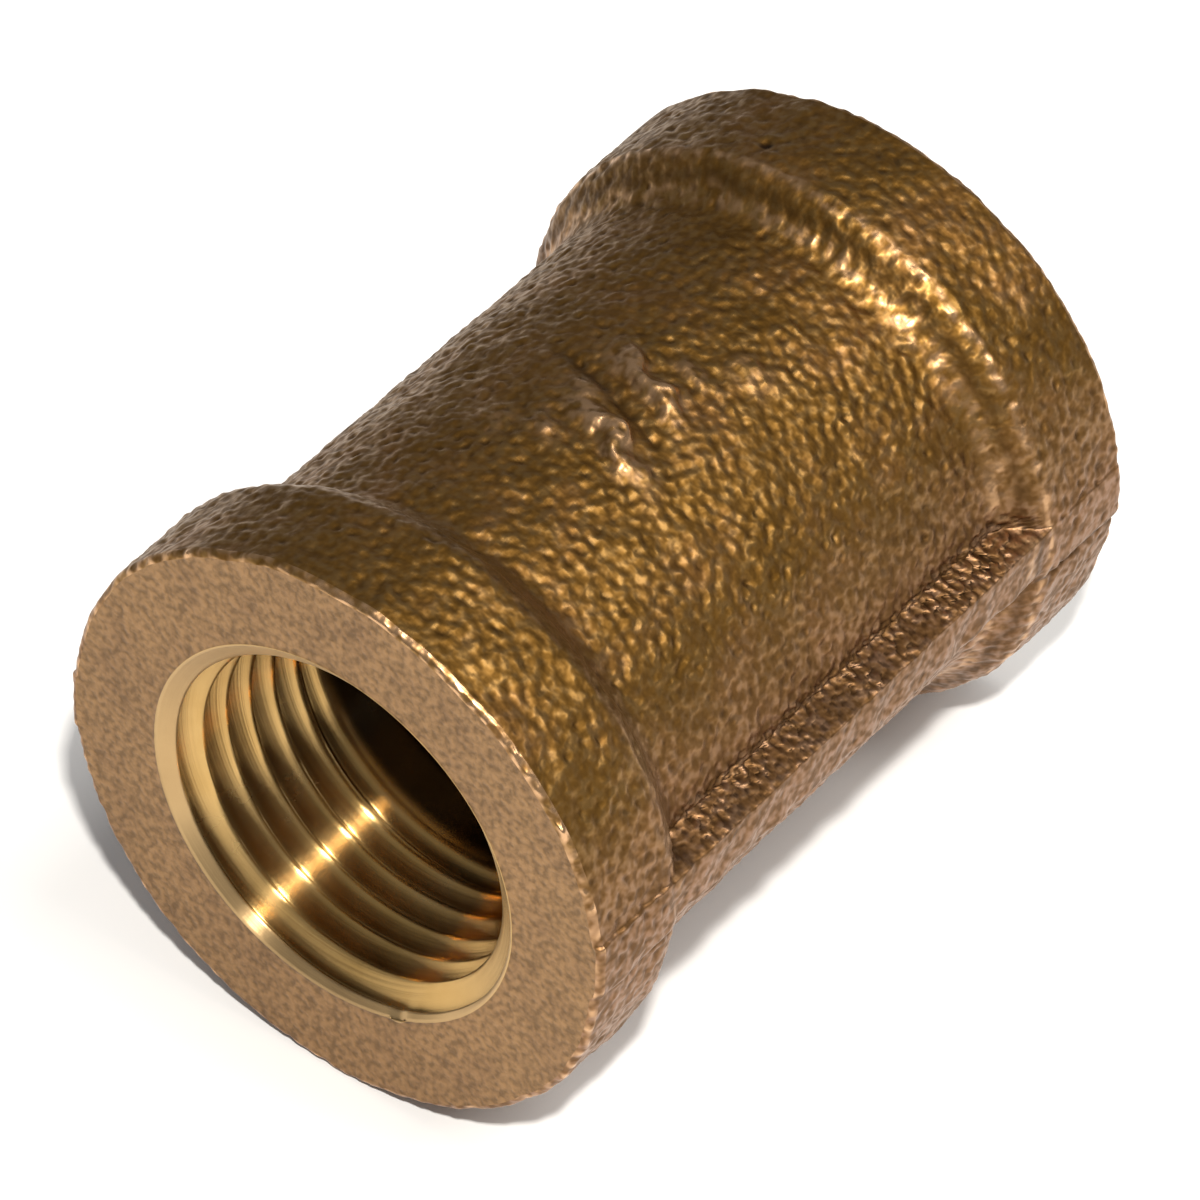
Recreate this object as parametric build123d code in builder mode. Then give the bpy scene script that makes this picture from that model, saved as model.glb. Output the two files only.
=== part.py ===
from build123d import *
import math
import os

# Reducing coupling: one cast brass body, banded at both ends, with two female pipe threads.
# It lies on its side. Origin at the middle of the pipe axis, +X towards the small end, +Z up
# through the foundry pad, +Y through one of the two casting ribs.
# All dimensions in millimetres and degrees.

length = 34.0
band_radius = 12.8
body_radius = 11.3

# outside of the casting
band_land = 5.0            # straight part of each band, measured from its end face
shoulder_angle = 50.0      # slope from the band down to the body
shoulder_crest_fillet = 0.6
shoulder_foot_fillet = 1.0
end_edge_fillet = 0.35

# casting ribs: above the parting plane on the +Y side, below it on the -Y side
rib_crest_out = 12.68      # distance of the flat crest from the middle plane
rib_crest_low = -0.1
rib_crest_high = 2.0
rib_foot_out = 10.95       # where the ledge and the sloping flank meet the body
rib_foot_low = -2.0
rib_foot_high = 2.25
rib_root_out = 10.3        # inside the body's wall
rib_inset = 3.0            # both ends of a rib are buried in the bands

# blank foundry pad on top of the body
pad_radius = 11.65
pad_root_radius = 10.9     # inside the body's wall
pad_width = 6.6            # around the body
pad_length = 5.6           # along the axis
pad_corner = 1.6
pad_centre = 1.0           # its place along the axis

# small end, 3/8-18 NPT
small_pitch = 25.4 / 18
small_crest_radius = 7.40
small_root_radius = 8.53
small_turns = 7

# large end, 1/2-14 NPT
large_pitch = 25.4 / 14
large_crest_radius = 9.13
large_root_radius = 10.61
large_turns = 6
large_drill_depth = 13.5

# thread form shared by both ends
root_taper = 1 / 32        # radius lost per millimetre of depth
half_flank_angle = 30.0
root_flat = 0.10
first_root = 0.55          # place of the first root inside the chamfer, in turns
runout_turns = 2           # the last turns fade out
mouth_chamfer = 0.15       # beyond the thread's root radius, at 45 degrees
step_angle = 59.0          # half angle of the drill point between the two holes

small_end = length / 2
large_end = -length / 2
shoulder_run = (band_radius - body_radius) / math.tan(math.radians(shoulder_angle))
shoulder_foot = band_land + shoulder_run
step_run = (large_crest_radius - small_crest_radius) / math.tan(math.radians(step_angle))


def at_either(vertices, depth):
    """Corners this far inside either end face."""
    return [v for v in vertices if abs(abs(v.X) - (small_end - depth)) < 0.01 and v.Y > body_radius / 2]


def groove_depth(turn, turns, crest_radius, root_radius, pitch):
    """Depth of one groove below the crests, with the taper and the run-out."""
    full = root_radius - root_taper * (turn + first_root) * pitch - crest_radius
    turns_left = turns - turn
    if turns_left > runout_turns:
        return full
    return full * turns_left / (runout_turns + 1)


def thread_outline(crest_radius, root_radius, pitch, turns):
    """Mouth chamfer and grooves as (depth below the end face, radius), from the mouth inwards."""
    mouth_radius = root_radius + mouth_chamfer
    chamfer_depth = mouth_radius - crest_radius
    outline = [(0.0, mouth_radius), (chamfer_depth, crest_radius)]
    for turn in range(turns):
        centre = chamfer_depth + (turn + first_root) * pitch
        deep = groove_depth(turn, turns, crest_radius, root_radius, pitch)
        half_mouth = deep * math.tan(math.radians(half_flank_angle)) + root_flat / 2
        outline.append((centre - half_mouth, crest_radius))
        outline.append((centre - root_flat / 2, crest_radius + deep))
        outline.append((centre + root_flat / 2, crest_radius + deep))
        outline.append((centre + half_mouth, crest_radius))
    return outline


small_outline = thread_outline(small_crest_radius, small_root_radius, small_pitch, small_turns)
large_outline = thread_outline(large_crest_radius, large_root_radius, large_pitch, large_turns)

# raised blank pad, its outer face following the body's curve
with BuildPart() as foundry_pad:
    with BuildSketch(Plane.XY.offset(pad_root_radius)):
        with Locations((pad_centre, 0)):
            RectangleRounded(pad_length, pad_width, pad_corner)
    extrude(amount=pad_radius - pad_root_radius)
    Cylinder(radius=pad_radius, height=length, rotation=(0, 90, 0), mode=Mode.INTERSECT)

with BuildPart() as coupling_body:
    # outside, turned about the pipe axis: x is the place along the axis, y is the radius
    with BuildSketch(Plane.XY) as outside:
        with BuildLine():
            Polyline(
                (large_end, 0),
                (large_end, band_radius),
                (large_end + band_land, band_radius),
                (large_end + shoulder_foot, body_radius),
                (small_end - shoulder_foot, body_radius),
                (small_end - band_land, band_radius),
                (small_end, band_radius),
                (small_end, 0),
                close=True,
            )
        make_face()
        fillet(at_either(outside.vertices(), 0), end_edge_fillet)
        fillet(at_either(outside.vertices(), band_land), shoulder_crest_fillet)
        fillet(at_either(outside.vertices(), shoulder_foot), shoulder_foot_fillet)
    revolve(axis=Axis.X)

    # one rib on each side, running from band to band
    with BuildSketch(Plane.YZ.offset(large_end + rib_inset)) as ribs:
        for side in (1, -1):
            with BuildLine():
                Polyline(
                    (side * rib_root_out, side * rib_foot_low),
                    (side * rib_foot_out, side * rib_foot_low),
                    (side * rib_crest_out, side * rib_crest_low),
                    (side * rib_crest_out, side * rib_crest_high),
                    (side * rib_foot_out, side * rib_foot_high),
                    (side * rib_root_out, side * rib_foot_high),
                    close=True,
                )
            make_face()
    extrude(amount=length - 2 * rib_inset)

    add(foundry_pad.part)

    # bore from end to end: thread, large hole, drill point, small hole, thread
    with BuildSketch(Plane.XY) as bore:
        with BuildLine():
            large_side = [(large_end + depth, radius) for depth, radius in large_outline]
            small_side = [(small_end - depth, radius) for depth, radius in reversed(small_outline)]
            step = [
                (large_end + large_drill_depth, large_crest_radius),
                (large_end + large_drill_depth + step_run, small_crest_radius),
            ]
            Polyline((large_end, 0), *large_side, *step, *small_side, (small_end, 0), close=True)
        make_face()
    revolve(axis=Axis.X, mode=Mode.SUBTRACT)
coupling_body.part.label = "coupling_body"

os.makedirs("parts", exist_ok=True)
export_step(coupling_body.part, "parts/coupling_body.step")
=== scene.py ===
"""Looks of the cast reducing coupling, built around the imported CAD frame.

The whole outside and the bore are one closed grid: rings along the axis, columns around it.
Sizes are in millimetres and angles in degrees unless a comment says otherwise. MM turns them into metres.
"""
import math

import bpy
import numpy as np
from mathutils import Matrix, Vector


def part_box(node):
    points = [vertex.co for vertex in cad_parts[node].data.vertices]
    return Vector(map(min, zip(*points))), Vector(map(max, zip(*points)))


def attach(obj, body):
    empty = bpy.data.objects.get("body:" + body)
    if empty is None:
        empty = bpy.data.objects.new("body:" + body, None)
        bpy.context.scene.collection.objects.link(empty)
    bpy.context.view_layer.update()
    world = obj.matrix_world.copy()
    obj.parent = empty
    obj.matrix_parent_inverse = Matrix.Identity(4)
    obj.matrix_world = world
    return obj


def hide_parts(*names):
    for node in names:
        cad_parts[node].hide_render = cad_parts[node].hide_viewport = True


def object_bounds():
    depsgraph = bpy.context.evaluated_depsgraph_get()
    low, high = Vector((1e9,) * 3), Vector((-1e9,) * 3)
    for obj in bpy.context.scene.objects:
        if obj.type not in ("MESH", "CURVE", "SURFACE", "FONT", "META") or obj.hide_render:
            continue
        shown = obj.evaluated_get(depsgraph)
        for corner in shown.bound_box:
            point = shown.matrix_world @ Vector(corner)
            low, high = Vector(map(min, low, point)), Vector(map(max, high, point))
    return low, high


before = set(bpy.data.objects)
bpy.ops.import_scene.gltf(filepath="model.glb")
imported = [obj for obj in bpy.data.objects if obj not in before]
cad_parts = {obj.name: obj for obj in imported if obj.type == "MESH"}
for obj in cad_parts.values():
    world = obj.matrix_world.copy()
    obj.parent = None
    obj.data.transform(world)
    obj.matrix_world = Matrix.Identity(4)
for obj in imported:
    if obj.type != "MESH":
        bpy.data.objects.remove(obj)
cad_bounds = [list(map(float, corner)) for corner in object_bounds()]

MM = 0.001
INCH = 25.4
TAU = 2 * math.pi
rng = np.random.default_rng(1838)

# ---------------------------------------------------------------- sizes of the casting
low, high = (Vector(corner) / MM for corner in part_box("coupling_body"))
LENGTH = high.x - low.x
HALF = LENGTH / 2
LIMIT_R = high.z - 0.005            # nothing reaches past the bands
NEAR_BAND_R = high.z - 0.12
FAR_BAND_R = high.z - 0.05
BODY_R = 11.24
BAND_LAND = 5.0
SHOULDER_SLOPE = math.tan(math.radians(50))
NEAR_CREST_BLEND = 0.75
FAR_CREST_BLEND = 0.55
FOOT_BLEND = 0.80
EDGE_ROUND = 0.30

RIB_OUT = 12.66                     # flat crest of a rib, from the middle plane
RIB_LOW, RIB_HIGH = -0.1, 2.0       # lower and upper edge of the crest
RIB_FOOT_OUT = 10.95
RIB_FOOT_LOW, RIB_FOOT_HIGH = -2.0, 2.25
RIB_EDGE_BLEND = 0.20
RIB_BODY_BLEND = 0.18
LEDGE_ANGLE = 10.2                  # middle of a rib's ledge, from its side of the part
SPLIT_ANGLE = -3.0                  # parting line on the bands, from each side of the part

# ---------------------------------------------------------------- sizes of the bore
SMALL_PITCH = INCH / 18
SMALL_CREST_R = 7.40
SMALL_ROOT_R = 8.50
SMALL_MOUTH_R = 8.55
SMALL_THREAD = 8.6
LARGE_PITCH = INCH / 14
LARGE_CREST_R = 9.13
LARGE_ROOT_R = 10.58
LARGE_MOUTH_R = 10.70
LARGE_THREAD = 10.9
LARGE_DRILL = 13.5
# where each helix starts: angle around, and depth from its end face
SMALL_START_ANGLE, SMALL_START_DEPTH = 209.5, 1.54
LARGE_START_ANGLE, LARGE_START_DEPTH = 0, 1.9
STEP_RUN = (LARGE_CREST_R - SMALL_CREST_R) / math.tan(math.radians(59))
STEP_ROWS = 8
PLAIN_ROWS = 20
PLAIN_GAP = 0.15                    # between the plain hole and its neighbours
ROOT_TAPER = 1 / 32
ROOT_ROUND = 0.09
CREST_BLEND = 0.20
FLANK_SLOPE = math.sqrt(3)          # 60 degree thread form
BEVEL_SLOPE = 1.3
BEVEL_BLEND = 0.05
NICK_ANGLE, NICK_WIDTH, NICK_DEPTH = -66.5, 2.2, 0.16
HELIX_LEAD, LEAD_PITCH = 2.2, 1.4   # run over which the rows take up the helix, at this pitch
# painted shade: the small bore darkens towards its end between these depths
SHADE_START, SHADE_FULL = 8.5, 9.1  # depths between which the small bore darkens
SLIP_ANGLE = 60                     # where the columns step from one turn of the helix to the next

# ---------------------------------------------------------------- relief of the cast skin
SKIN_STEP = 0.10                    # between rows
GRAIN_HEIGHT = 0.0185
GRAIN_HOLES = 0.010
ROUGH_HEIGHT = 0.010
BROAD_HEIGHT = 0.022
WIDE_HEIGHT = 0.018
LEDGE_PITS = 0.060
SPLIT_STEP = 0.13                   # where the halves of the mould met, shifted sideways
SEAM_DEPTH, SEAM_WIDTH = 0.30, 0.20
LIP_HEIGHT, LIP_WIDTH = 0.04, math.sqrt(0.03)
CORNER_DEPTH = 0.42
VALLEY_DEPTH = 0.14
BLOW_HOLE_DEPTH = 0.22
CREST_DEPTH, SLOPE_DEPTH, COVE_DEPTH = 4.85, 5.55, 6.12     # parts of a shoulder, from its end face

# ---------------------------------------------------------------- end faces and their rims
FACE_ROWS = 26
FACE_RECESS = 0.012
FACE_TEXTURE = 0.006
FACE_GAP = 0.02                     # between the mouth and the innermost ring of a face
EDGE_ROWS = 9
EDGE_RECESS = 0.014
CHIP_HEIGHT = 0.011
BURR_ANGLE, BURR_WIDTH, BURR_ALONG, BURR_OUT = 33.5, 1.3, 0.12, 0.11
# each rim is brightened most at this angle, over this width: a painted highlight
RIM_HIGHLIGHT_ANGLE, RIM_HIGHLIGHT_WIDTH = 61, 34

# worn lumps in place of a foundry mark: place, angle, half length, half width, height, lean
LUMPS = (
    (2.5, 82, 0.52, 1.9, 0.50, 0.35),
    (-0.7, 84, 0.50, 1.7, 0.50, 0.30),
    (-2.3, 79, 0.35, 0.8, 0.16, 0.2),
    (3.7, 92, 0.60, 0.7, 0.20, 0.0),
    (1.2, 93, 0.45, 0.7, 0.16, 0.0),
    (4.3, 103, 0.7, 0.8, 0.10, 0.0),
    (-4.0, 72, 0.6, 0.9, 0.08, 0.0),
)

COLUMNS = 720
ROWS_PER_TURN = 16
CROWDING = 2.6                      # extra columns on the ledge of each rib, as a share of those elsewhere
CROWD_REACH = 0.04                  # half width of that stretch, in radians
CROWD_SAMPLES = 20001
BEYOND = 99.0                       # a radius past everything


# ---------------------------------------------------------------- curves
def smoothstep(x, a, b):
    """Rises smoothly from 0 at a to 1 at b."""
    t = np.clip((x - a) / (b - a), 0, 1)
    return t * t * (3 - 2 * t)


def smooth_max(a, b, k):
    """The larger of two values, with the corner between them rounded over a span of k."""
    h = np.clip(0.5 + 0.5 * (a - b) / k, 0, 1)
    return b + (a - b) * h + k * h * (1 - h)


def hump(distance, half_width, power=2):
    """1 in the middle, falling off at this half width. A higher power gives a flatter top."""
    return np.exp(-np.abs(distance / half_width) ** power)


def column_angles():
    """Angle of each column in radians. Columns stand closer together on the ledge of each rib."""
    even = np.linspace(0, TAU, CROWD_SAMPLES)
    ledges = [math.radians(LEDGE_ANGLE + turned) for turned in (0, 180)]
    crowd = 1.0 + sum(CROWDING * hump(even - ledge, CROWD_REACH) for ledge in ledges)
    total = np.concatenate(([0.0], np.cumsum(0.5 * (crowd[1:] + crowd[:-1]))))
    return np.interp(np.arange(COLUMNS) / COLUMNS, total / total[-1], even)


theta = column_angles()


def angle_from(centre):
    """Signed angle of each column in radians, from this angle in degrees."""
    return (theta - math.radians(centre) + math.pi) % TAU - math.pi


def band_noise(rows, row_step, col_step, wavelength, spread=0.35, crowded=False):
    """Seeded random field, periodic around, with features of about this wavelength. Unit variance.

    A crowded field follows the columns, so its features shrink where the columns stand closer together.
    """
    pad = int(4 * wavelength / row_step) + 4
    field = rng.standard_normal((rows + pad, COLUMNS))
    along = np.fft.fftfreq(rows + pad, row_step)[:, None]
    around = np.fft.fftfreq(COLUMNS, col_step)[None, :]
    octave = np.log(np.maximum(np.sqrt(along ** 2 + around ** 2) * wavelength, 1e-6))
    keep = np.exp(-(octave ** 2) / (2 * spread ** 2))
    field = np.fft.ifft2(np.fft.fft2(field) * keep).real[:rows]
    field = field / field.std()
    if crowded:
        return field
    place = theta * COLUMNS / TAU
    left = np.floor(place).astype(int)
    share = (place - left)[None, :]
    return field[:, left % COLUMNS] * (1 - share) + field[:, (left + 1) % COLUMNS] * share


# ---------------------------------------------------------------- outside of the casting
def turned_profile(x):
    """Mean radius of the turned outside at each place along the axis."""
    band = np.where(x > 0, NEAR_BAND_R, FAR_BAND_R)
    slope = band - (HALF - np.abs(x) - BAND_LAND) * SHOULDER_SLOPE
    crested = -smooth_max(-slope, -band, np.where(x > 0, NEAR_CREST_BLEND, FAR_CREST_BLEND))
    return smooth_max(crested, np.full_like(slope, BODY_R), FOOT_BLEND)


def rib_radius(side, angle):
    """Radius of a rib's boundary at these angles, zero elsewhere. The -Y rib is turned half a turn."""
    least_facing, least_out = 0.02, 0.8
    out, up = side * np.cos(angle), side * np.sin(angle)
    radius = np.full(angle.shape, BEYOND)
    for start, end in (((RIB_OUT, RIB_LOW), (RIB_OUT, RIB_HIGH)),
                       ((RIB_OUT, RIB_HIGH), (RIB_FOOT_OUT, RIB_FOOT_HIGH)),
                       ((RIB_FOOT_OUT, RIB_FOOT_LOW), (RIB_OUT, RIB_LOW))):
        run, rise = end[0] - start[0], end[1] - start[1]
        size = math.hypot(run, rise)
        normal = (rise / size, -run / size)
        reach = normal[0] * start[0] + normal[1] * start[1]
        facing = normal[0] * out + normal[1] * up
        line = np.where(facing > least_facing, reach / np.maximum(facing, least_facing), BEYOND)
        radius = -smooth_max(-radius, -line, RIB_EDGE_BLEND)
    return np.where(out > least_out, radius, 0.0)


class Skin:
    """The outside between the two end faces: radius, darkening and brightening for each row and column. The
    darkening marks pits and seams and also paints shade; the brightening marks worn metal and also paints
    highlights.
    """

    def __init__(self):
        reach = HALF - EDGE_ROUND
        self.x = np.linspace(reach, -reach, int(2 * reach / SKIN_STEP))
        self.along = self.x[:, None]
        self.depth = HALF - np.abs(self.along)          # from the nearer end face
        self.at_large_end = self.along < 0
        self.radius = np.repeat(turned_profile(self.x)[:, None], COLUMNS, axis=1)
        self.pits_and_painted_shade = np.zeros_like(self.radius)
        self.wear_dullness_and_highlight = np.zeros_like(self.radius)
        land = HALF - BAND_LAND
        self.on_band = smoothstep(np.abs(self.along), land - 0.6, land + 0.2)

        self.grain = self.noise(0.68, 0.25)
        self.broad = self.noise(2.6)
        self.wide = self.noise(7.0)
        self.rough = self.noise(0.95, 0.45)
        self.fine = self.noise(0.52, 0.50, crowded=True)

    def noise(self, wavelength, spread=0.35, crowded=False):
        return band_noise(len(self.x), SKIN_STEP, BODY_R * TAU / COLUMNS, wavelength, spread, crowded)

    def spot(self, place, angle, along, around):
        """1 at the middle of a round spot, falling off at this half length and half width."""
        across = angle_from(angle)[None, :] * BODY_R / around
        return np.exp(-((self.along - place) / along) ** 2 - across ** 2)

    def lift(self, amount):
        self.radius = self.radius + amount

    def sink(self, amount):
        self.lift(-amount)

    def darken(self, amount):
        self.pits_and_painted_shade = np.maximum(self.pits_and_painted_shade, amount)

    def brighten(self, amount):
        self.wear_dullness_and_highlight = np.maximum(self.wear_dullness_and_highlight, amount)


def add_rib(skin, side, around):
    """One rib with its pitted ledge, coarser towards the large end."""
    inner = 1 - skin.on_band
    from_ledge = np.degrees(around) - LEDGE_ANGLE
    pits = np.clip(skin.fine + 0.2, -0.6, 1.6)
    coarse = 0.040 + 0.030 * smoothstep(-skin.along, 1, 11)
    shift = coarse * smoothstep(skin.broad, -1.6, 1.2) * hump(from_ledge - 0.4, 3.0) * inner * pits
    boundary = rib_radius(side, theta[None, :] + shift / RIB_OUT) + 0.02 * skin.broad
    skin.radius = smooth_max(skin.radius, boundary, RIB_BODY_BLEND)
    foot = hump(from_ledge - 2.2 - 0.5 * skin.rough, 1.8) * inner
    skin.sink(LEDGE_PITS * pits * foot)
    ledge = np.maximum(foot, hump(from_ledge, 1.8) * inner)
    skin.darken(ledge * smoothstep(skin.fine, -0.2, 1.3) * 0.75)
    skin.brighten(ledge * smoothstep(-skin.fine, 0.9, 1.6) * 0.35)


def add_parting_line(skin, around):
    """Where the halves of the mould met, shifted sideways: a step, an open seam and a lip on the bands."""
    mate = math.radians(SPLIT_ANGLE) + 0.004 * skin.wide
    arc = (around - mate) * BODY_R
    below = smoothstep(mate - around, -0.002, 0.010) * (1 - smoothstep(mate - around, 0.15, 0.50))
    skin.sink(SPLIT_STEP * below * skin.on_band)
    seam = hump(arc, SEAM_WIDTH) * skin.on_band * (1 - smoothstep(skin.along, 13.0, 16.0))
    open_stretch = smoothstep(-skin.along, 12.2, 12.6) * (1 - smoothstep(-skin.along, 14.4, 14.9))
    gape = 0.45 + 0.55 * open_stretch
    skin.sink(SEAM_DEPTH * seam * gape)
    skin.darken(seam * (0.5 + 0.5 * gape))
    skin.lift(LIP_HEIGHT * hump(arc - 0.36, LIP_WIDTH) * skin.on_band)


def shoulder_wear_highlight_and_shade(skin):
    """Painted highlights on the crest of each shoulder, partly real worn metal. The large end's also has a
    painted highlight at its foot, and painted shade on the slope between.
    """
    crest = hump(skin.depth - CREST_DEPTH - 0.06 * skin.broad, 0.15) * np.where(skin.at_large_end, 0.85, 0.25)
    cove = hump(skin.depth - COVE_DEPTH - 0.12 * skin.broad, 0.30) * np.where(skin.at_large_end, 0.55, 0.0)
    slope = hump(skin.depth - SLOPE_DEPTH - 0.08 * skin.broad, 0.22) * skin.at_large_end
    skin.brighten((crest + cove) * smoothstep(skin.rough, -1.4, 0.6))
    # painted shade on the large end's slope
    skin.darken(0.45 * slope)


def add_lumps(skin):
    for place, angle, half_length, half_width, height, lean in LUMPS:
        arc = angle_from(angle)[None, :] * BODY_R
        shift = skin.along - place + lean * arc + 0.16 * skin.broad
        lump = hump(shift, half_length, 3) * hump(arc, half_width, 3)
        skin.lift(height * lump)
        skin.brighten(np.sqrt(lump) * smoothstep(skin.rough, -1.9, 0.2) * min(1.0, 3 * height))
    arc = angle_from(89)[None, :] * BODY_R
    valley = hump(skin.along - 0.6 + 0.30 * arc, 0.28) * hump(arc, 3.4, 4)
    skin.sink(VALLEY_DEPTH * valley)
    skin.darken(0.55 * valley)


def add_cast_grain(skin):
    """Sand-cast grain over everything, calmer on the crest of a rib and next to the end faces."""
    holes = np.maximum(-skin.grain - 0.9, 0)
    past_crest = np.abs(skin.radius * np.cos(theta)) - RIB_OUT + 0.35
    calm = 1 - 0.7 * smoothstep(past_crest, 0.0, 0.3) * (1 - skin.on_band)
    calm = calm * (0.3 + 0.7 * smoothstep(skin.depth, 0.3, 1.4))
    grain = GRAIN_HEIGHT * skin.grain - GRAIN_HOLES * holes + ROUGH_HEIGHT * skin.rough
    skin.lift(calm * grain + BROAD_HEIGHT * skin.broad + WIDE_HEIGHT * skin.wide)
    skin.darken(np.clip(holes * 0.35, 0, 0.45))


def cast_outside():
    skin = Skin()
    for side, centre in ((1, 0), (-1, 180)):
        around = angle_from(centre)[None, :]
        add_rib(skin, side, around)
        add_parting_line(skin, around)
        # corner between rib, body and one shoulder: a small pit, darkened as painted shade
        corner = skin.spot(side * 11.0, centre + 11.5, 0.30, 0.45)
        skin.sink(CORNER_DEPTH * corner)
        skin.darken(corner)
    shoulder_wear_highlight_and_shade(skin)
    add_lumps(skin)
    # a small blow hole on the large end's band
    hole = skin.spot(-13.45, 102.5, 0.30, 0.34)
    skin.sink(BLOW_HOLE_DEPTH * hole)
    skin.darken(smoothstep(hole, 0.3, 0.9))
    add_cast_grain(skin)
    skin.radius = np.minimum(skin.radius, LIMIT_R)
    return skin


# ---------------------------------------------------------------- bore
def helix_rows(pitch, thread):
    """Depths of the rows of a threaded stretch, and how far each follows the helix (0 to 1)."""
    lead = HELIX_LEAD * pitch / LEAD_PITCH
    full = thread - HELIX_LEAD
    depth = np.arange(0, lead + full + lead, pitch / ROWS_PER_TURN)
    follow = smoothstep(depth, 0, lead) * (1 - smoothstep(depth, lead + full, lead + full + lead))
    return depth, follow


def helix_turn(slip=math.radians(36)):
    """How far around the helix each column is, slipping back to zero over a short arc."""
    a = (theta - math.radians(SLIP_ANGLE) - slip / 2) % TAU
    back = smoothstep(a, TAU - slip, TAU)
    top = (TAU - slip) / TAU
    return np.where(a < TAU - slip, a / TAU, top * (1 - back))


def threaded_rows(pitch, crest_r, root_r, mouth_r, thread, sign, start_angle, start_depth):
    """Depth, radius, painted shade in the thread roots, and dullness of a threaded stretch, from its mouth
    inwards.

    sign is +1 where depth grows with the helix's angle.
    """
    depth, follow = helix_rows(pitch, thread)
    d = depth[:, None] + sign * pitch * helix_turn()[None, :] * follow[:, None]
    if sign < 0:
        d = np.maximum(d, 0)
    phase = (d - start_depth) / pitch - sign * ((theta - math.radians(start_angle)) / TAU)[None, :]
    from_root = np.abs((phase % 1.0) - 0.5) * pitch
    fade = 1 - smoothstep(d, thread - 0.9 * pitch, thread + 0.3 * pitch)
    flank = np.sqrt((from_root * FLANK_SLOPE) ** 2 + ROOT_ROUND ** 2) - ROOT_ROUND
    groove = root_r - ROOT_TAPER * d - flank
    groove = crest_r + (groove - crest_r) * fade
    r = smooth_max(groove, np.full_like(groove, crest_r), CREST_BLEND)
    nick = NICK_DEPTH * hump(np.degrees(angle_from(NICK_ANGLE)), NICK_WIDTH)
    bevel = mouth_r + nick[None, :] - d * BEVEL_SLOPE
    dull = 0.45 * smoothstep(bevel - r, -0.10, 0.04)
    # painted shade, darkening the thread roots
    root_shade = 0.5 * hump(from_root, 0.13) * fade * (r > bevel)
    return d, smooth_max(r, bevel, BEVEL_BLEND), root_shade, dull


# ---------------------------------------------------------------- the closed surface
class Rings:
    """Rings of the closed surface in order: place, radius, zone, darkening and brightening of each. The
    darkening marks pits and also paints shade; the brightening marks worn metal, dull metal and painted
    highlights.
    """

    def __init__(self):
        self.places, self.radii, self.zones, self.pits_and_painted_shade, self.wear_dullness_and_highlight = [], [], [], [], []

    def put(self, place, radius, zone, pits_and_painted_shade=0.0, wear_dullness_and_highlight=0.0):
        """Add a ring for each row of place. A value that is the same all around may be given once."""
        place = np.atleast_1d(place)
        shape = (len(place), COLUMNS)
        self.places.append(np.broadcast_to(place.reshape(len(place), -1), shape))
        self.radii.append(np.broadcast_to(np.asarray(radius).reshape(len(place), -1), shape))
        self.zones.extend([zone] * len(place))
        self.pits_and_painted_shade.append(np.broadcast_to(pits_and_painted_shade, shape))
        self.wear_dullness_and_highlight.append(np.broadcast_to(wear_dullness_and_highlight, shape))


def put_face(rings, side, mouth_r, rim_r):
    """Machined end face, from the mouth out to the edge at the +X end and back at the other."""
    inner_r = mouth_r + FACE_GAP
    outer_r = rim_r[None, :] - EDGE_ROUND
    r = inner_r + (outer_r - inner_r) * np.linspace(0, 1, FACE_ROWS)[:, None]
    row_step = (outer_r.mean() - mouth_r) / FACE_ROWS
    texture = FACE_TEXTURE * band_noise(FACE_ROWS, row_step, mouth_r * TAU / COLUMNS, 0.8)
    x = side * (HALF - FACE_RECESS - np.abs(texture))
    if side < 0:
        r, x = r[::-1], x[::-1]
    rings.put(x, r, "face")


def put_edge(rings, side, rim_r):
    """Worn, chipped rounding between the skin and an end face, with one burr at the +X end."""
    angles = np.linspace(0.06, 0.94, EDGE_ROWS) * math.pi / 2
    if side < 0:
        angles = angles[::-1]
    chips = band_noise(EDGE_ROWS, 0.06, BODY_R * TAU / COLUMNS, 0.7)
    burr = hump(np.degrees(angle_from(BURR_ANGLE)), BURR_WIDTH) * (side > 0)
    # even worn brightening all round the rim, plus a painted highlight around one angle
    rim_wear_and_highlight = 0.30 + 0.65 * hump(np.degrees(angle_from(RIM_HIGHLIGHT_ANGLE)), RIM_HIGHLIGHT_WIDTH, 4)
    for a, chip in zip(angles, chips):
        middle = math.sin(2 * a)
        worn_x = middle * (CHIP_HEIGHT * chip + BURR_ALONG * burr) - EDGE_RECESS
        worn_r = middle * (CHIP_HEIGHT * chip + BURR_OUT * burr)
        x = HALF - EDGE_ROUND + EDGE_ROUND * math.cos(a) + worn_x
        r = rim_r - EDGE_ROUND + EDGE_ROUND * math.sin(a) + worn_r
        rings.put(side * np.minimum(x, HALF - 0.002)[None, :], np.minimum(r, LIMIT_R)[None, :], "skin",
                  wear_dullness_and_highlight=np.clip(rim_wear_and_highlight + 0.3 * chip + burr, 0, 1))


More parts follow.
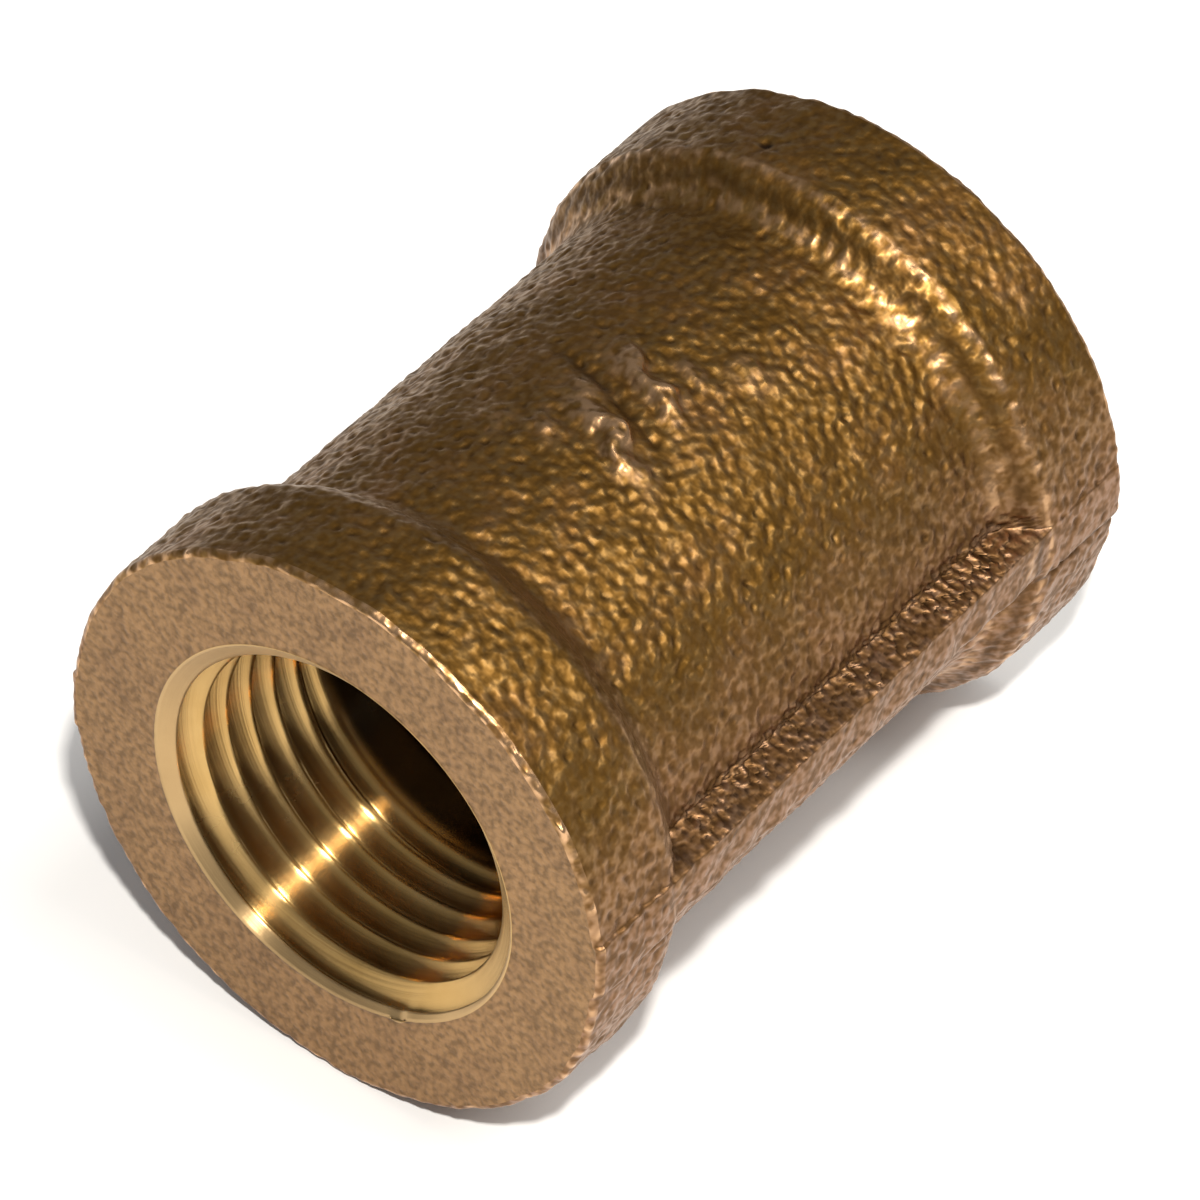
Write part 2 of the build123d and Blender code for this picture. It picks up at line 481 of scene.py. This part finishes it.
def put_bore(rings):
    """Large thread, drill point, plain hole and small thread, from the -X face to the +X face."""
    d, r, root_shade, dull = threaded_rows(LARGE_PITCH, LARGE_CREST_R, LARGE_ROOT_R, LARGE_MOUTH_R, LARGE_THREAD,
                                      sign=1, start_angle=LARGE_START_ANGLE, start_depth=LARGE_START_DEPTH)
    keep = d.max(1) < LARGE_DRILL - 0.1
    rings.put(-HALF + d[keep], r[keep], "thread", root_shade[keep], dull[keep])
    for t in np.linspace(0, 1, STEP_ROWS):
        rings.put(-HALF + LARGE_DRILL + STEP_RUN * t, LARGE_CREST_R + (SMALL_CREST_R - LARGE_CREST_R) * t,
                  "thread")
    d, r, root_shade, dull = threaded_rows(SMALL_PITCH, SMALL_CREST_R, SMALL_ROOT_R, SMALL_MOUTH_R, SMALL_THREAD,
                                      sign=-1, start_angle=SMALL_START_ANGLE, start_depth=SMALL_START_DEPTH)
    step_end = -HALF + LARGE_DRILL + STEP_RUN
    plain = np.linspace(step_end + PLAIN_GAP, HALF - d[-1].max() - PLAIN_GAP, PLAIN_ROWS)
    # the plain hole is painted near black as shade
    rings.put(plain, np.full(len(plain), SMALL_CREST_R), "thread", pits_and_painted_shade=0.95)
    # painted shade in the thread roots and deep in the small bore
    bore_shade = np.maximum(root_shade, 0.90 * smoothstep(d, SHADE_START, SHADE_FULL))
    rings.put(HALF - d[::-1], r[::-1], "thread", bore_shade[::-1], dull[::-1])


def closed_surface():
    skin = cast_outside()
    near_rim, far_rim = skin.radius[0], skin.radius[-1]
    rings = Rings()
    put_face(rings, 1, SMALL_MOUTH_R, near_rim)
    put_edge(rings, 1, near_rim)
    rings.put(skin.along, skin.radius, "skin", skin.pits_and_painted_shade, skin.wear_dullness_and_highlight)
    put_edge(rings, -1, far_rim)
    put_face(rings, -1, LARGE_MOUTH_R, far_rim)
    put_bore(rings)
    return rings


def build_mesh(name):
    rings = closed_surface()
    x, r = np.vstack(rings.places), np.vstack(rings.radii)
    points = np.stack([x, r * np.cos(theta), r * np.sin(theta)], axis=-1).reshape(-1, 3) * MM
    vertex = np.arange(x.size).reshape(x.shape)
    below = np.roll(vertex, -1, axis=0)
    quads = np.stack([vertex, np.roll(vertex, -1, axis=1), np.roll(below, -1, axis=1), below], axis=-1)
    quads = quads.reshape(-1, 4)

    mesh = bpy.data.meshes.new(name)
    mesh.vertices.add(len(points))
    mesh.vertices.foreach_set("co", points.ravel())
    mesh.loops.add(quads.size)
    mesh.loops.foreach_set("vertex_index", quads.ravel())
    mesh.polygons.add(len(quads))
    mesh.polygons.foreach_set("loop_start", np.arange(len(quads)) * 4)
    mesh.polygons.foreach_set("loop_total", np.full(len(quads), 4))
    zone_order = ["skin", "face", "thread"]
    zones = np.array([zone_order.index(zone) for zone in rings.zones])
    mesh.polygons.foreach_set("material_index", np.repeat(zones, COLUMNS))
    mesh.polygons.foreach_set("use_smooth", np.ones(len(quads), bool))
    for layer_name, rows in (("pits_and_painted_shade", rings.pits_and_painted_shade), ("wear_dullness_and_highlight", rings.wear_dullness_and_highlight)):
        layer = mesh.attributes.new(layer_name, "FLOAT", "POINT")
        layer.data.foreach_set("value", np.ascontiguousarray(np.vstack(rows), dtype=np.float32).ravel())
    mesh.update()
    mesh.validate()
    return mesh


# ---------------------------------------------------------------- materials
def grey(v):
    return (v, v, v)


def new_material(name):
    material = bpy.data.materials.new(name)
    material.use_nodes = True
    shader = material.node_tree.nodes["Principled BSDF"]
    shader.inputs["Metallic"].default_value = 1.0
    return material, material.node_tree, shader


def feed(tree, socket, value):
    """Link a socket to another, or set it to a colour or a number."""
    if isinstance(value, bpy.types.NodeSocket):
        tree.links.new(value, socket)
    elif isinstance(value, tuple):
        socket.default_value = (*value, 1)
    else:
        socket.default_value = value


def noise_node(tree, scale, detail, roughness, coords):
    """Noise with about this many features to a metre."""
    node = tree.nodes.new("ShaderNodeTexNoise")
    node.inputs["Scale"].default_value = scale
    node.inputs["Detail"].default_value = detail
    node.inputs["Roughness"].default_value = roughness
    tree.links.new(coords, node.inputs["Vector"])
    return node.outputs["Fac"]


def ramp_node(tree, value, stops):
    node = tree.nodes.new("ShaderNodeValToRGB")
    tree.links.new(value, node.inputs["Fac"])
    elements = node.color_ramp.elements
    while len(elements) < len(stops):
        elements.new(0.5)
    for element, (place, colour) in zip(elements, stops):
        element.position = place
        element.color = (*colour, 1)
    return node.outputs["Color"]


def mix_colour(tree, factor, a, b, mode="MIX"):
    node = tree.nodes.new("ShaderNodeMix")
    node.data_type = "RGBA"
    node.blend_type = mode
    for socket, value in ((node.inputs[0], factor), (node.inputs[6], a), (node.inputs[7], b)):
        feed(tree, socket, value)
    return node.outputs[2]


def bump_node(tree, height, distance):
    """Bumps of this height, in metres."""
    node = tree.nodes.new("ShaderNodeBump")
    node.inputs["Strength"].default_value = 1.0
    node.inputs["Distance"].default_value = distance
    tree.links.new(height, node.inputs["Height"])
    return node.outputs["Normal"]


def attribute(tree, name):
    node = tree.nodes.new("ShaderNodeAttribute")
    node.attribute_name = name
    return node.outputs["Fac"]


def math_node(tree, operation, *values):
    node = tree.nodes.new("ShaderNodeMath")
    node.operation = operation
    for socket, value in zip(node.inputs, values):
        feed(tree, socket, value)
    return node.outputs[0]


def object_coordinates(tree):
    """Place on the object as a vector, and the same place split into X, Y and Z."""
    coords = tree.nodes.new("ShaderNodeTexCoord").outputs["Object"]
    split = tree.nodes.new("ShaderNodeSeparateXYZ")
    tree.links.new(coords, split.inputs[0])
    return coords, split.outputs


def cast_skin():
    """Sand-cast brass: olive on top, browner below, golden where worn and as painted highlights, near black
    in pits and as painted shade.
    """
    material, tree, shader = new_material("cast_skin")
    coords, axes = object_coordinates(tree)
    tone = noise_node(tree, 330, 4, 0.6, coords)
    speck = noise_node(tree, 2700, 1, 0.4, coords)
    fleck = noise_node(tree, 1900, 1, 0.5, coords)
    olive = ramp_node(tree, tone, [(0.30, (0.154, 0.079, 0.018)), (0.50, (0.186, 0.098, 0.026)),
                                   (0.72, (0.216, 0.110, 0.037))])
    brown = ramp_node(tree, tone, [(0.30, (0.190, 0.102, 0.048)), (0.72, (0.240, 0.130, 0.066))])
    # brown below the axis, and all olive from about 7 mm above it
    height = math_node(tree, "MULTIPLY_ADD", axes[2], 110.0, 0.10)
    upper = ramp_node(tree, height, [(0.25, grey(0.0)), (0.85, grey(1.0))])
    peaks = ramp_node(tree, speck, [(0.36, (0.72, 0.68, 0.55)), (0.50, (1.0, 0.98, 0.92)),
                                    (0.64, (1.30, 1.38, 1.65))])
    broken = ramp_node(tree, fleck, [(0.38, grey(0.15)), (0.56, grey(1.0))])
    wear_dullness_and_highlight = math_node(tree, "MULTIPLY", attribute(tree, "wear_dullness_and_highlight"), broken)
    colour = mix_colour(tree, upper, brown, olive)
    colour = mix_colour(tree, 1.0, colour, peaks, "MULTIPLY")
    # golden where worn; on the rims and on the shoulders' crests and coves this also paints highlights
    colour = mix_colour(tree, wear_dullness_and_highlight, colour, (0.62, 0.375, 0.200))
    # near black in pits and open seams, and as painted shade in the corner by each rib and on the large end's
    # shoulder slope
    colour = mix_colour(tree, attribute(tree, "pits_and_painted_shade"), colour, (0.035, 0.017, 0.007))
    gloss = ramp_node(tree, speck, [(0.36, grey(0.56)), (0.62, grey(0.40))])
    tree.links.new(colour, shader.inputs["Base Color"])
    tree.links.new(mix_colour(tree, wear_dullness_and_highlight, gloss, grey(0.25)), shader.inputs["Roughness"])
    tree.links.new(bump_node(tree, speck, 0.00005), shader.inputs["Normal"])
    return material


def machined_face():
    """Matt end face with fine speckle."""
    material, tree, shader = new_material("machined_face")
    coords, _ = object_coordinates(tree)
    tone = noise_node(tree, 420, 4, 0.65, coords)
    speck = noise_node(tree, 3400, 2, 0.5, coords)
    base = ramp_node(tree, tone, [(0.30, (0.222, 0.130, 0.064)), (0.55, (0.264, 0.156, 0.073)),
                                  (0.75, (0.285, 0.167, 0.080))])
    speckle = ramp_node(tree, speck, [(0.34, grey(0.68)), (0.50, grey(1.0)), (0.66, grey(1.26))])
    tree.links.new(mix_colour(tree, 1.0, base, speckle, "MULTIPLY"), shader.inputs["Base Color"])
    shader.inputs["Roughness"].default_value = 0.46
    tree.links.new(bump_node(tree, speck, 0.00006), shader.inputs["Normal"])
    return material


def cut_thread():
    """Bright cut brass whose highlight is drawn out along the axis by the tool marks around it."""
    material, tree, shader = new_material("cut_thread")
    coords, axes = object_coordinates(tree)
    dull = attribute(tree, "wear_dullness_and_highlight")
    tone = noise_node(tree, 300, 4, 0.6, coords)
    base = ramp_node(tree, tone, [(0.30, (0.480, 0.300, 0.105)), (0.70, (0.620, 0.410, 0.165))])
    base = mix_colour(tree, dull, base, (0.42, 0.30, 0.19))
    # near black as painted shade: in the thread roots, deep in the small bore and in the plain hole
    base = mix_colour(tree, attribute(tree, "pits_and_painted_shade"), base, (0.006, 0.003, 0.001))
    gloss = ramp_node(tree, tone, [(0.30, grey(0.22)), (0.70, grey(0.28))])
    tree.links.new(base, shader.inputs["Base Color"])
    tree.links.new(mix_colour(tree, dull, gloss, grey(0.42)), shader.inputs["Roughness"])
    shader.inputs["Anisotropic"].default_value = 1.0
    shader.inputs["Anisotropic Rotation"].default_value = 0.25
    around = tree.nodes.new("ShaderNodeTangent")
    around.direction_type = "RADIAL"
    around.axis = "X"
    tree.links.new(around.outputs[0], shader.inputs["Tangent"])
    # tool marks run around the bore, so they vary along it
    stripes = noise_node(tree, 7000, 2, 0.6, axes[0])
    grain = noise_node(tree, 2600, 2, 0.6, coords)
    marks = math_node(tree, "MULTIPLY_ADD", grain, 0.2, stripes)
    tree.links.new(bump_node(tree, marks, 0.000015), shader.inputs["Normal"])
    return material


coupling = bpy.data.objects.new("coupling", build_mesh("coupling"))
bpy.context.collection.objects.link(coupling)
for material in (cast_skin(), machined_face(), cut_thread()):
    coupling.data.materials.append(material)
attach(coupling, "root")
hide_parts("coupling_body")

# ---------------------------------------------------------------- floor, light and camera
FLOOR_HALF = 1.5                    # metres
WORLD_STRENGTH = 0.30
LIGHT_DISTANCE = 0.5                # metres
CAMERA_AZIMUTH, CAMERA_ELEVATION, CAMERA_ROLL = 34.89, 44.16, 3.02
CAMERA_DISTANCE = 0.33384           # metres
CAMERA_TARGET = Vector((0.23, 0.07, -0.23)) * MM
CAMERA_LENS, CAMERA_SENSOR = 258.2, 36


def direction(azimuth, elevation):
    a, e = math.radians(azimuth), math.radians(elevation)
    return Vector((math.cos(e) * math.cos(a), math.cos(e) * math.sin(a), math.sin(e)))


def area_light(name, azimuth, elevation, width, depth, watts, colour):
    """Rectangular light aimed at the part, its width level. Its size is in metres."""
    data = bpy.data.lights.new(name, "AREA")
    data.shape = "RECTANGLE"
    data.size = width
    data.size_y = depth
    data.energy = watts
    data.color = colour
    lamp = bpy.data.objects.new(name, data)
    towards = direction(azimuth, elevation)
    lamp.location = towards * LIGHT_DISTANCE
    lamp.rotation_euler = towards.to_track_quat("Z", "Y").to_euler()
    bpy.context.collection.objects.link(lamp)


floor_mesh = bpy.data.meshes.new("floor")
floor_corners = ((-1, -1), (1, -1), (1, 1), (-1, 1))
floor_mesh.from_pydata([(x * FLOOR_HALF, y * FLOOR_HALF, cad_bounds[0][2]) for x, y in floor_corners],
                       [], [(0, 1, 2, 3)])
floor = bpy.data.objects.new("floor", floor_mesh)
bpy.context.collection.objects.link(floor)
paper = bpy.data.materials.new("paper")
paper.use_nodes = True
paper_shader = paper.node_tree.nodes["Principled BSDF"]
paper_shader.inputs["Base Color"].default_value = (0.92, 0.92, 0.92, 1)
paper_shader.inputs["Roughness"].default_value = 0.9
floor_mesh.materials.append(paper)

area_light("overhead", azimuth=110, elevation=62, width=0.16, depth=0.42, watts=1.7,
           colour=(1.0, 0.97, 0.92))
area_light("key", azimuth=38.7, elevation=55.1, width=0.022, depth=0.022, watts=2.5,
           colour=(1.0, 0.96, 0.90))
world = bpy.data.worlds.new("studio")
world.use_nodes = True
world.node_tree.nodes["Background"].inputs["Color"].default_value = (1, 1, 1, 1)
world.node_tree.nodes["Background"].inputs["Strength"].default_value = WORLD_STRENGTH
bpy.context.scene.world = world

lens = bpy.data.cameras.new("camera")
lens.lens = CAMERA_LENS
lens.sensor_width = CAMERA_SENSOR
lens.clip_start = 0.01
camera = bpy.data.objects.new("camera", lens)
look = direction(CAMERA_AZIMUTH, CAMERA_ELEVATION)
aim = look.to_track_quat("Z", "Y").to_matrix() @ Matrix.Rotation(math.radians(CAMERA_ROLL), 3, "Z")
camera.matrix_world = Matrix.Translation(CAMERA_TARGET + look * CAMERA_DISTANCE) @ aim.to_4x4()
bpy.context.collection.objects.link(camera)
bpy.context.scene.camera = camera
bpy.context.scene.view_settings.view_transform = "Standard"
